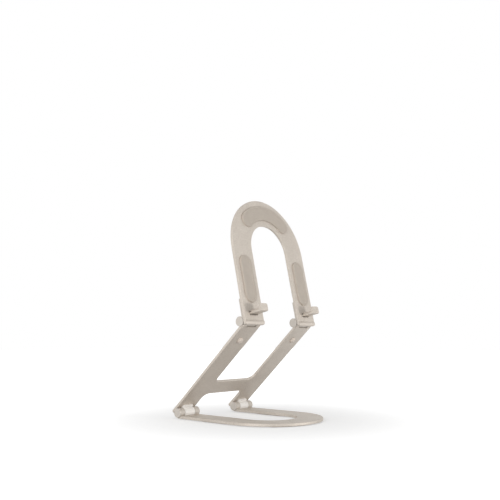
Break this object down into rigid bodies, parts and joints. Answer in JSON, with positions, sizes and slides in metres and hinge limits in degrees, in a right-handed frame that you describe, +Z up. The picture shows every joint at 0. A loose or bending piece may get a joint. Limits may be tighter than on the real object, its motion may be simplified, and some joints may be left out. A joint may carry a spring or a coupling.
{
  "type": "tablet stand",
  "caption": "Folding desk stand for a tablet: horseshoe base, H-shaped arm and hooked support plate on friction hinges.",
  "frame": {"origin": "on the table, under the centre of the bounding box of the open stand", "axes": "+Z up; -Y is the front, where the user sits; the stand is mirror symmetric about X = 0"},
  "size_m": [0.1258, 0.1543, 0.2524],
  "materials": {
    "anodised_metal": "sand-blasted and anodised, warm beige",
    "leaf_metal": "sand-blasted and anodised, slightly lighter beige",
    "steel": "plain machined steel",
    "friction_polymer": "dark polymer friction disc",
    "silicone": "matt moulded silicone, beige",
    "bumper_silicone": "matt moulded silicone, pinkish beige"
  },
  "bodies": {
    "base": {"base_plate": "anodised_metal", "base_pad_left": "silicone", "base_pad_right": "silicone", "base_pad_front": "silicone", "lower_knuckle_block_left": "anodised_metal", "lower_knuckle_block_right": "anodised_metal", "lower_hinge_caps_left": "anodised_metal", "lower_hinge_caps_right": "anodised_metal", "lower_friction_washers_left": "friction_polymer", "lower_friction_washers_right": "friction_polymer", "lower_block_screws_left": "steel", "lower_block_screws_right": "steel"},
    "arm": {"arm_frame": "anodised_metal", "bumper_left": "bumper_silicone", "bumper_right": "bumper_silicone", "lower_leaf_left": "leaf_metal", "lower_leaf_right": "leaf_metal", "lower_hinge_pin_left": "steel", "lower_hinge_pin_right": "steel", "lower_spring_washers_left": "steel", "lower_spring_washers_right": "steel", "lower_lock_nut_left": "steel", "lower_lock_nut_right": "steel", "lower_leaf_screws_left": "steel", "lower_leaf_screws_right": "steel", "upper_knuckle_block_left": "anodised_metal", "upper_knuckle_block_right": "anodised_metal", "upper_hinge_caps_left": "anodised_metal", "upper_hinge_caps_right": "anodised_metal", "upper_friction_washers_left": "friction_polymer", "upper_friction_washers_right": "friction_polymer", "upper_block_screws_left": "steel", "upper_block_screws_right": "steel"},
    "support": {"support_plate": "anodised_metal", "support_pad_left": "silicone", "support_pad_right": "silicone", "support_pad_top": "silicone", "hook_left": "anodised_metal", "hook_right": "anodised_metal", "hook_liner_left": "silicone", "hook_liner_right": "silicone", "hook_screws_left": "steel", "hook_screws_right": "steel", "upper_leaf_left": "leaf_metal", "upper_leaf_right": "leaf_metal", "upper_hinge_pin_left": "steel", "upper_hinge_pin_right": "steel", "upper_spring_washers_left": "steel", "upper_spring_washers_right": "steel", "upper_lock_nut_left": "steel", "upper_lock_nut_right": "steel", "upper_leaf_screws_left": "steel", "upper_leaf_screws_right": "steel"}
  },
  "joints": [
    {"name": "arm_hinge", "type": "hinge", "parent": "base", "child": "arm", "pos_m": [0, 0.06682, 0.0071], "axis": [1, 0, 0], "range_deg": [-47.4, 45]},
    {"name": "support_hinge", "type": "hinge", "parent": "arm", "child": "support", "pos_m": [0, -0.02773, 0.10919], "axis": [1, 0, 0], "range_deg": [-120.3, 12]}
  ]
}
